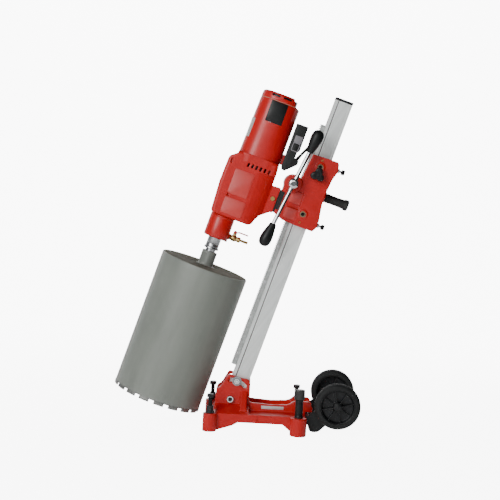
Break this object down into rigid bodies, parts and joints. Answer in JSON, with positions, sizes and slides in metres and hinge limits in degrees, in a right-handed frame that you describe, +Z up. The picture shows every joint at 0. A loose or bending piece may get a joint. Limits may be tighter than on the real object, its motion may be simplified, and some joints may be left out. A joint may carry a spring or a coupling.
{
  "type": "core drill rig",
  "caption": "Wheeled core drill rig: a tilting mast on a levelling base carries a geared motor on a rack-fed carriage, with a large core bit and a water valve.",
  "frame": {"origin": "centre of the rig's bounding box on the floor that its base stands on", "axes": "+Z up; +X from the core bit towards the wheels; +Y is the far side, away from the feed lever"},
  "size_m": [0.8307, 0.325, 1.1486],
  "materials": {
    "red_paint": "gloss red paint over the cast base and sheet steel",
    "red_casting": "gloss red paint over cast aluminium",
    "mast_aluminium": "satin extruded aluminium",
    "chrome": "polished chrome plate",
    "steel": "machined steel",
    "bit_paint": "satin grey-green paint over steel tube",
    "segment": "sintered metal, matte",
    "brass": "satin brass",
    "black_plastic": "matte black moulded plastic",
    "black_rubber": "matte black rubber",
    "black_steel": "satin black coated steel",
    "windings": "laminated steel and lacquered copper windings",
    "tyre": "matte black solid rubber tyre on a black plastic wheel"
  },
  "bodies": {
    "base": {"base_casting": "red_paint", "pivot_bolt": "chrome", "wheel_carrier": "black_steel", "wheel_axle": "steel", "levelling_nut_front_left": "black_steel", "levelling_nut_front_right": "black_steel", "levelling_nut_rear_left": "black_steel", "levelling_sleeve": "black_plastic"},
    "wheel_left_body": {"wheel_left": "tyre"},
    "wheel_right_body": {"wheel_right": "tyre"},
    "screw_front_left": {"levelling_screw_front_left": "black_steel"},
    "screw_front_right": {"levelling_screw_front_right": "black_steel"},
    "screw_rear_left": {"levelling_screw_rear_left": "black_steel"},
    "screw_rear_right": {"levelling_screw_rear_right": "black_steel"},
    "mast": {"mast_column": "mast_aluminium", "mast_rack": "steel", "mast_end_cap": "black_plastic", "tilt_lock_bolt": "chrome"},
    "carriage": {"carriage_casting": "red_casting", "guide_pad_side_upper": "black_plastic", "guide_pad_side_lower": "black_plastic", "guide_pad_rear_upper": "black_plastic", "guide_pad_rear_lower": "black_plastic", "guide_adjuster_upper": "brass", "guide_adjuster_lower": "brass", "carriage_handle": "black_rubber", "motor_mount_plate": "black_steel", "motor_mount_bolt": "brass", "motor_housing": "red_casting", "motor_end_cap": "red_casting", "brush_cover_near": "black_plastic", "brush_cover_far": "black_plastic", "stator": "windings", "gearbox_housing": "red_casting", "spindle_nose": "red_casting", "spindle_bearing": "steel", "water_valve": "brass", "control_box": "black_plastic", "control_box_bracket": "red_paint", "cord_relief": "black_rubber", "mains_cord_lead": "black_rubber", "mains_cord_coil": "black_rubber", "mains_cord_tail": "black_rubber", "mains_plug": "black_rubber", "cord_hook": "steel"},
    "feed_lever": {"feed_pinion": "steel", "feed_hub": "chrome", "feed_lever_rod": "chrome", "feed_knob_upper": "black_plastic", "feed_knob_lower": "black_plastic"},
    "lock_knob": {"carriage_lock_knob": "black_plastic"},
    "clamp_upper": {"clamp_screw_upper": "black_plastic"},
    "clamp_lower": {"clamp_screw_lower": "black_plastic"},
    "valve_lever": {"water_valve_lever": "red_paint"},
    "rocker": {"power_switch": "black_plastic"},
    "spindle": {"drill_spindle": "chrome", "core_bit_barrel": "bit_paint", "core_bit_segments": "segment"},
    "idler": {"idler_gear_shaft": "steel"},
    "motor_armature": {"armature": "windings"}
  },
  "joints": [
    {"name": "wheel_left_spin", "type": "hinge", "parent": "base", "child": "wheel_left_body", "pos_m": [0.3391, 0.137, 0.107], "axis": [0, 1, 0], "continuous": true},
    {"name": "wheel_right_spin", "type": "hinge", "parent": "base", "child": "wheel_right_body", "pos_m": [0.3391, -0.137, 0.107], "axis": [0, 1, 0], "continuous": true},
    {"name": "levelling_front_left", "type": "slide", "parent": "base", "child": "screw_front_left", "axis": [0, 0, 1], "range_m": [-0.025, 0]},
    {"name": "levelling_front_right", "type": "slide", "parent": "base", "child": "screw_front_right", "axis": [0, 0, 1], "range_m": [-0.025, 0]},
    {"name": "levelling_rear_left", "type": "slide", "parent": "base", "child": "screw_rear_left", "axis": [0, 0, 1], "range_m": [-0.025, 0]},
    {"name": "levelling_rear_right", "type": "slide", "parent": "base", "child": "screw_rear_right", "axis": [0, 0, 1], "range_m": [-0.025, 0]},
    {"name": "mast_tilt", "type": "hinge", "parent": "base", "child": "mast", "pos_m": [-0.018, 0, 0.0958], "axis": [0, 1, 0], "range_deg": [-17.4, 27.6]},
    {"name": "carriage_feed", "type": "slide", "parent": "mast", "child": "carriage", "axis": [0.299, 0, 0.9542], "range_m": [-0.48, 0.185]},
    {"name": "feed_lever_turn", "type": "hinge", "parent": "carriage", "child": "feed_lever", "pos_m": [0.15464, 0, 0.83395], "axis": [0, 1, 0], "range_deg": [-1380, 535]},
    {"name": "lock_knob_turn", "type": "hinge", "parent": "carriage", "child": "lock_knob", "pos_m": [0.23406, -0.08, 0.8667], "axis": [0, 1, 0], "range_deg": [-90, 90]},
    {"name": "clamp_upper_turn", "type": "hinge", "parent": "carriage", "child": "clamp_upper", "pos_m": [0.30238, 0, 0.88406], "axis": [0.9542, 0, -0.299], "range_deg": [-180, 180]},
    {"name": "clamp_lower_turn", "type": "hinge", "parent": "carriage", "child": "clamp_lower", "pos_m": [0.24347, 0, 0.69608], "axis": [0.9542, 0, -0.299], "range_deg": [-180, 180]},
    {"name": "valve_turn", "type": "hinge", "parent": "carriage", "child": "valve_lever", "pos_m": [-0.0357, 0, 0.6379], "axis": [0.299, 0, 0.9542], "range_deg": [0, 90]},
    {"name": "rocker_tilt", "type": "hinge", "parent": "carriage", "child": "rocker", "pos_m": [0.15688, -0.033, 0.95481], "axis": [0.9542, 0, -0.299], "range_deg": [0, 14]},
    {"name": "spindle_spin", "type": "hinge", "parent": "carriage", "child": "spindle", "pos_m": [-0.06568, 0, 0.73952], "axis": [0.299, 0, 0.9542], "continuous": true},
    {"name": "idler_spin", "type": "hinge", "parent": "carriage", "child": "idler", "pos_m": [-0.01342, 0.0311, 0.77553], "axis": [0.299, 0, 0.9542], "continuous": true},
    {"name": "armature_spin", "type": "hinge", "parent": "carriage", "child": "motor_armature", "pos_m": [0.05943, 0, 0.98325], "axis": [0.299, 0, 0.9542], "continuous": true}
  ],
  "couplings": [
    {"joint": "feed_lever_turn", "follows": "carriage_feed", "rad_per_m": 50},
    {"joint": "idler_spin", "follows": "spindle_spin", "ratio": -3.1667},
    {"joint": "armature_spin", "follows": "spindle_spin", "ratio": 11.31}
  ]
}
